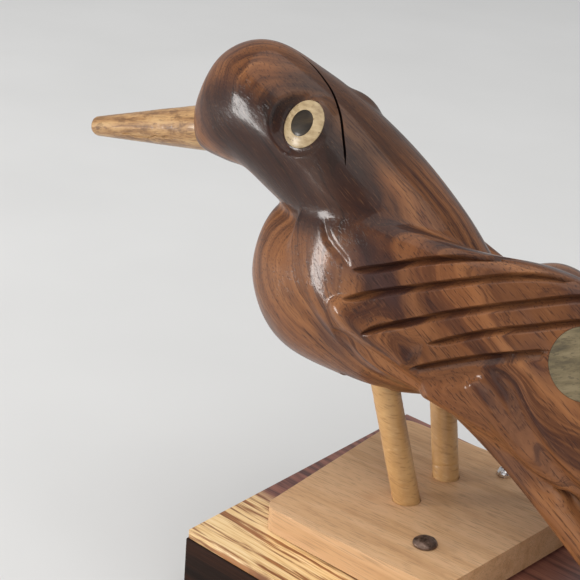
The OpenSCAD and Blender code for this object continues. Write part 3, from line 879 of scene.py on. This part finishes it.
def cane_look():
    """Barked cane: warm tan with fine cross wrinkles and darker blotches."""
    k = Look("cane_look", Coat_Weight=0.15, Coat_Roughness=0.35)
    wrinkles = k.noise(k.mapped(turn=(0, 15, 0), scale=(260, 260, 1500)), 1.0, 3.0, 0.6)
    blotch = k.noise(k.mapped(scale=(120, 120, 60)), 1.0, 4.0)
    base = k.ramp(blotch, [
        (0.3, (0.40, 0.215, 0.075)), (0.5, (0.53, 0.30, 0.115)), (0.7, (0.60, 0.36, 0.15))])
    base = k.mix(k.ramp(wrinkles, [(0.34, 0.5), (0.46, 0.0)]), base, (0.30, 0.15, 0.05))
    base = k.mix(k.ramp(wrinkles, [(0.60, 0.0), (0.72, 0.35)]), base, (0.72, 0.48, 0.24))
    k.colour(base)
    k.rough(k.ramp(wrinkles, [(0.3, 0.62), (0.7, 0.42)]))
    k.bump(wrinkles, 0.14, 0.8)
    return k


def horn_wood_look():
    """The beak's mottled tan and brown wood under varnish, grain along the beak."""
    k = Look("horn_wood_look", Roughness=0.45, Coat_Weight=0.35, Coat_Roughness=0.16,
             Specular_IOR_Level=0.25)
    turn = (0, -BEAK_SLOPE, 0)
    streak = k.noise(k.mapped(turn=turn, scale=(45, 520, 520)), 1.0, 5.0, 0.65)
    mottle = k.noise(k.mapped(turn=turn, scale=(160, 330, 330)), 1.0, 4.0, 0.6)
    base = k.ramp(streak, [
        (0.32, (0.15, 0.070, 0.026)), (0.45, (0.33, 0.175, 0.068)), (0.58, (0.46, 0.27, 0.115)),
        (0.72, (0.52, 0.33, 0.15))])
    base = k.mix(k.ramp(mottle, [(0.52, 0.0), (0.66, 0.75)], smooth=True), base,
                 (0.15, 0.070, 0.026))
    fibres = k.noise(k.mapped(turn=turn, scale=(200, 2600, 2600)), 1.0, 2.0)
    base = k.mix(k.ramp(fibres, [(0.36, 0.55), (0.44, 0.0)]), base, (0.10, 0.045, 0.018))
    k.colour(base)
    k.bump(k.math("ADD", streak, fibres), 0.05, 0.5, coat=True)
    return k


def bone_look():
    """The eye rings' dull cream inlay with dark specks."""
    k = Look("bone_look", Roughness=0.5, Coat_Weight=0.25, Coat_Roughness=0.2,
             Specular_IOR_Level=0.2)
    fine = k.noise(k.mapped(scale=(300, 300, 900)), 1.0, 4.0, 0.6)
    base = k.ramp(fine, [
        (0.3, (0.26, 0.18, 0.095)), (0.48, (0.38, 0.28, 0.155)), (0.66, (0.46, 0.35, 0.21))])
    specks = k.cells(k.place, 700.0)
    base = k.mix(k.ramp(specks, [(0.10, 0.8), (0.22, 0.0)]), base, (0.12, 0.065, 0.030))
    stain = k.noise(k.place, 260.0, 2.0)
    base = k.mix(k.ramp(stain, [(0.55, 0.0), (0.68, 0.5)], smooth=True), base, (0.23, 0.145, 0.070))
    k.colour(base)
    k.bump(fine, 0.03, 0.4, coat=True)
    return k


def olive_look(name, light, mid, dark, coat=0.4):
    """Fine-banded wood of the round inlays and the pupils."""
    k = Look(name, Roughness=0.45, Coat_Weight=coat, Coat_Roughness=0.14, Specular_IOR_Level=0.2)
    turn = (0, -24, 0)
    bands = k.noise(k.mapped(turn=turn, scale=(60, 200, 420)), 1.0, 5.0, 0.62)
    base = k.ramp(bands, [(0.32, dark), (0.5, mid), (0.68, light)])
    fibres = k.noise(k.mapped(turn=turn, scale=(160, 2400, 2400)), 1.0, 2.0)
    base = k.mix(k.ramp(fibres, [(0.36, 0.5), (0.45, 0.0)]), base, dark)
    k.colour(base)
    k.bump(fibres, 0.03, 0.4, coat=True)
    return k


def metal_look(name, colour, dark, rough, bump_mm, scale, cover, metallic=1.0):
    """Metal with duller, darker wear: more of it where cover is higher."""
    k = Look(name, Metallic=metallic)
    wear = k.noise(k.place, scale, 5.0, 0.65)
    k.colour(k.ramp(wear, [(cover - 0.12, dark), (cover + 0.08, colour)]))
    k.rough(k.ramp(wear, [(0.35, min(rough + 0.25, 0.95)), (0.65, rough)]))
    k.bump(wear, bump_mm, 0.7)
    return k


cane = cane_look()
horn_wood = horn_wood_look()
bone = bone_look()
olive = olive_look("olive_look", (0.205, 0.160, 0.090), (0.140, 0.108, 0.058),
                   (0.060, 0.048, 0.030))
pupil_wood = olive_look("pupil_look", (0.045, 0.029, 0.014), (0.026, 0.017, 0.009),
                        (0.012, 0.008, 0.005), 0.15)
steel = metal_look("steel_look", (0.78, 0.78, 0.79), (0.45, 0.44, 0.43), 0.18, 0.01, 900.0, 0.42)
iron = metal_look("iron_look", (0.20, 0.135, 0.105), (0.055, 0.033, 0.022), 0.38, 0.10, 420.0,
                  0.5, 0.8)
brass = metal_look("brass_look", (0.80, 0.62, 0.36), (0.38, 0.24, 0.10), 0.28, 0.03, 900.0, 0.45)

# ---------------------------------------------------------------- the bird's pieces

bird = bird_blank()
relax(bird.data, 10)
soften_hollows(bird.data, 40)
for flip in (False, True):
    dome_at(bird.data, facing(*EYE, flip), EYE_FLAT_R * MM, EYE_FADE_R * MM, EYE_DOME_R * MM)
skin_tree = tree_of(bird)


def on_side(points, flip):
    """The points on the left side, or their like on the right side, whose wing top is lower."""
    inset, squash, drop = 2, 0.64, 1
    if not flip:
        return points
    return [(x, -y - inset, squash * z - drop if z > 0 else z) for x, y, z in points]


def both_sides(strokes, tree, sharp):
    """The strokes laid on the skin of both sides, ready for shape_along."""
    start = 7
    return [(on_surface(on_side(points, flip), tree), below * MM, above * MM, depth * MM,
             start * MM, sharp)
            for points, below, above, depth in strokes for flip in (False, True)]


shape_along(bird.data, both_sides(SOFT_STROKES, skin_tree, False))
relax(bird.data, 2)
skin_tree = tree_of(bird)
cuts = both_sides(FEATHERS, skin_tree, True)
groove_paths = [c[0] for c in cuts]
crack_path = on_surface(CRACK, skin_tree)
for paths, reach, rounds in ((groove_paths, 2.4, 1), (groove_paths, 1.6, 1),
                             ([crack_path], 1.1, 2), ([crack_path], 0.6, 1)):
    refine(bird.data, paths, reach * MM, rounds)
shape_along(bird.data, cuts, "groove")
shape_along(bird.data, [(crack_path, 0.36 * MM, 0.36 * MM, 1.0 * MM, 8 * MM, True)], "crack")

for flip in (False, True):
    tag = "right" if flip else "left"
    eye_m, inlay_m = facing(*EYE, flip), facing(*INLAYS[flip], flip)
    ring = wood_disc(tag + "_eye_ring_inlay", bone, eye_m, skin_tree,
                     EYE_RING_R, EYE_RING_BORE_R, EYE_DEEP, 0.10)
    finished(ring, "bird", "bone", tag + "_eye_ring")
    pupil = wood_disc(tag + "_pupil_inlay", pupil_wood, eye_m, skin_tree,
                      PUPIL_R, 0, EYE_DEEP, 0.08)
    finished(pupil, "bird", "pupil_wood", tag + "_pupil")
    plug = wood_disc(tag + "_flank_plug", olive, inlay_m, skin_tree, INLAY_R, 0, INLAY_DEEP, 0.05)
    finished(plug, "bird", "olive_wood", tag + "_flank_inlay")



def seat(name, radius, depth, top, matrix):
    """The hole that a round piece sits in, a little larger than the piece."""
    return cylinder(name, (radius + SEAT_PLAY) * MM, -(depth + SEAT_PLAY) * MM, top * MM, matrix)


tools = []
for flip in (False, True):
    tools.append(seat("eye_hole", EYE_RING_R, EYE_DEEP, SEAT_TOP, facing(*EYE, flip)))
    tools.append(seat("inlay_hole", INLAY_R, INLAY_DEEP, SEAT_TOP, facing(*INLAYS[flip], flip)))
    tools += slot_cutters(flip)
tools.append(seat("beak_hole", BEAK_D / 2, BEAK_SEAT, 12, beak_frame))
cut(bird, tools)
bird.data.materials.clear()
bird.data.materials.append(rosewood.mat)
smooth_shading(bird, 42)
bird.name = "carved_bird"
finished(bird, "bird", "rosewood", "bird_body")


def turned(name, profile, look, matrix, sides, shape):
    """A lathe-turned piece: profile holds (radius, height) in millimetres, and shape works each
    ring over."""
    a = np.linspace(0, 2 * np.pi, sides, endpoint=False)
    rings = [np.column_stack([r * np.cos(a), r * np.sin(a), np.full(sides, z)]) for r, z in profile]
    verts, faces = skin([shape(ring) for ring in rings])
    ob = make_object(name, verts * MM, faces, look)
    ob.data.transform(matrix)
    return ob


def whittled(ring):
    """The beak's skin, uneven from the knife: long flats and a slight crook. Its seat and the
    hole in its tip stay round."""
    r = np.hypot(ring[:, 0], ring[:, 1])
    z = ring[0, 2]
    if z < 1.0 or r[0] < 2.0:
        return ring
    fade = min((z - 1.0) / 6.0, 1.0)
    out = ring.copy()
    for i, (x, y, h) in enumerate(ring):
        x, y = x / r[i], y / r[i]
        flats = wobble((x, y, 0.035 * h), 1.9, 3.0)
        nicks = wobble((x, y, 0.3 * h), 4.0, 9.0)
        out[i, :2] *= 1 + 0.034 * fade * (flats + 0.35 * nicks)
    return out


root_r, tip_r = BEAK_D / 2, BEAK_TIP_D / 2
outer = [(root_r + (tip_r + 0.3 - root_r) * t, (BEAK_L - 1) * t) for t in np.linspace(0, 1, 108)]
beak_profile = [(TENON_R, -TENON_L), (TENON_R, -BEAK_SEAT), (root_r, -BEAK_SEAT)] + outer + [
    (tip_r + 0.1, BEAK_L - 0.4), (tip_r - 0.2, BEAK_L - 0.05), (tip_r - 0.6, BEAK_L), (1.5, BEAK_L),
    (1.3, BEAK_L - 0.3), (1.3, BEAK_L - 3), (0.85, BEAK_L - 3), (0.85, BEAK_L - 16)]
beak = turned("carved_beak", beak_profile, horn_wood, beak_frame, 112, whittled)
split = []
for z in np.linspace(7, 39, 12):
    r = root_r + (tip_r + 0.3 - root_r) * z / BEAK_L
    turn = math.radians(24 + 5 * math.sin(0.3 * z) + 3 * math.sin(0.9 * z))
    split.append(beak_frame @ (Vector((r * math.sin(turn), r * math.cos(turn), z)) * MM))
beak_tree = tree_of(beak)
split_path = np.array([beak_tree.find_nearest(p)[0] for p in split])
refine(beak.data, [split_path], 0.9 * MM, 2)
shape_along(beak.data, [(split_path, 0.28 * MM, 0.28 * MM, 0.5 * MM, 9 * MM, True)], "crack")
smooth_shading(beak, 40)
finished(beak, "bird", "horn_wood", "beak")

RING_MARK = -44.0  # a ring cut round the right leg, this far down from the axle


def cane_leg(flip):
    """A leg of barked cane with fine cross wrinkles, cut level at the foot and bored for the
    axle."""
    tag = "right" if flip else "left"
    m = leg_frame(flip)
    axis = m.to_3x3() @ Vector((0, 0, 1))
    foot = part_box(tag + "_leg")[0].z
    sides, count = 72, 230
    rings = []
    for k in range(count + 1):
        t = k / count
        ring = np.empty((sides, 3))
        for j in range(sides):
            a = 2 * math.pi * j / sides
            x, y = LEG_R * math.cos(a), LEG_R * math.sin(a)
            low = (foot - (m @ (Vector((x, y, 0)) * MM)).z) / axis.z / MM
            z = low + (LEG_OVER - low) * t
            fine = wobble((x * 0.16, y * 0.16, z * 1.25), 1.0, 5.0 if flip else 1.0)
            slow = wobble((x * 0.10, y * 0.10, z * 0.10), 1.0, 7.0 if flip else 2.0)
            groove = math.exp(-((z - RING_MARK + 0.25 * slow) / 0.3) ** 2) if flip else 0.0
            r = 1 - 0.030 + 0.016 * fine + 0.012 * slow - 0.045 * groove
            ring[j] = (x * r, y * r, z)
        rings.append(ring)
    verts, faces = skin(rings)
    ob = make_object(tag + "_cane_leg", verts * MM, faces)
    ob.data.transform(m)
    bore = Matrix.Translation(AXLE) @ Matrix.Rotation(math.radians(90), 4, "X")
    cut(ob, [cylinder("bore", (AXLE_R + AXLE_PLAY) * MM, -60 * MM, 60 * MM, bore)])
    ob.data.materials.clear()
    ob.data.materials.append(cane.mat)
    smooth_shading(ob, 50)
    finished(ob, "stand", "cane_wood", tag + "_leg")


for flip in (False, True):
    cane_leg(flip)


def worn(ring):
    """The tack's head, hammered out of round."""
    r = np.hypot(ring[:, 0], ring[:, 1])
    out = ring.copy()
    for i, (x, y, h) in enumerate(ring):
        if r[i] > 1.2:
            out[i, :2] *= 1 + 0.05 * wobble((x, y, 0), 0.35, 4.0)
        if h > 0.5:
            out[i, 2] += 0.14 * wobble((x, y, h), 0.8, 8.0)
    return out


tack_low, tack_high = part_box("plate_tack")
tack_at = Vector(((tack_low.x + tack_high.x) / 2, (tack_low.y + tack_high.y) / 2,
                  tack_high.z - 2.3 * MM))
dome = [(3.6 * math.cos(t), 0.6 + 1.7 * math.sin(t)) for t in np.linspace(0.0, 1.45, 12)]
tack_profile = [(0.05, -17), (0.9, -14), (0.9, 0.2), (3.2, 0.2), (3.5, 0.4)] + dome
tack = turned("hammered_tack", tack_profile, iron, Matrix.Translation(tack_at), 48, worn)
smooth_shading(tack, 40)
finished(tack, "stand", "dark_iron", "plate_tack")

# the pieces whose CAD mesh is kept: look, and the width of the softened edge in millimetres
for name, look, soft_edge in (
        ("beak_pin", brass, 0.0), ("foot_plate", pale_wood, 0.8), ("base_top", striped, 0.35),
        ("base_left_side", dark_wood, 0.45), ("base_right_side", dark_wood, 0.45),
        ("base_front", dark_wood, 0.45), ("base_rear", dark_wood, 0.45),
        ("base_bottom", plain_wood, 0.3), ("corner_blocks", plain_wood, 0.0),
        ("top_cleats", plain_wood, 0.0), ("bottom_screws", steel, 0.0),
        ("plate_screw", steel, 0.0), ("axle", steel, 0.0), ("axle_plug", plug_wood, 0.0)):
    ob = frame["nodes"][name]
    ob.data.materials.clear()
    ob.data.materials.append(look.mat)
    if soft_edge:
        weld = ob.modifiers.new("weld", "WELD")
        weld.merge_threshold = 0.01 * MM
        flat = ob.modifiers.new("flat", "DECIMATE")
        flat.decimate_type = "DISSOLVE"
        flat.angle_limit = math.radians(0.5)
        bevel = ob.modifiers.new("soft_edges", "BEVEL")
        bevel.width = soft_edge * MM
        bevel.segments = 3
        bevel.limit_method = "ANGLE"
        bevel.angle_limit = math.radians(40)
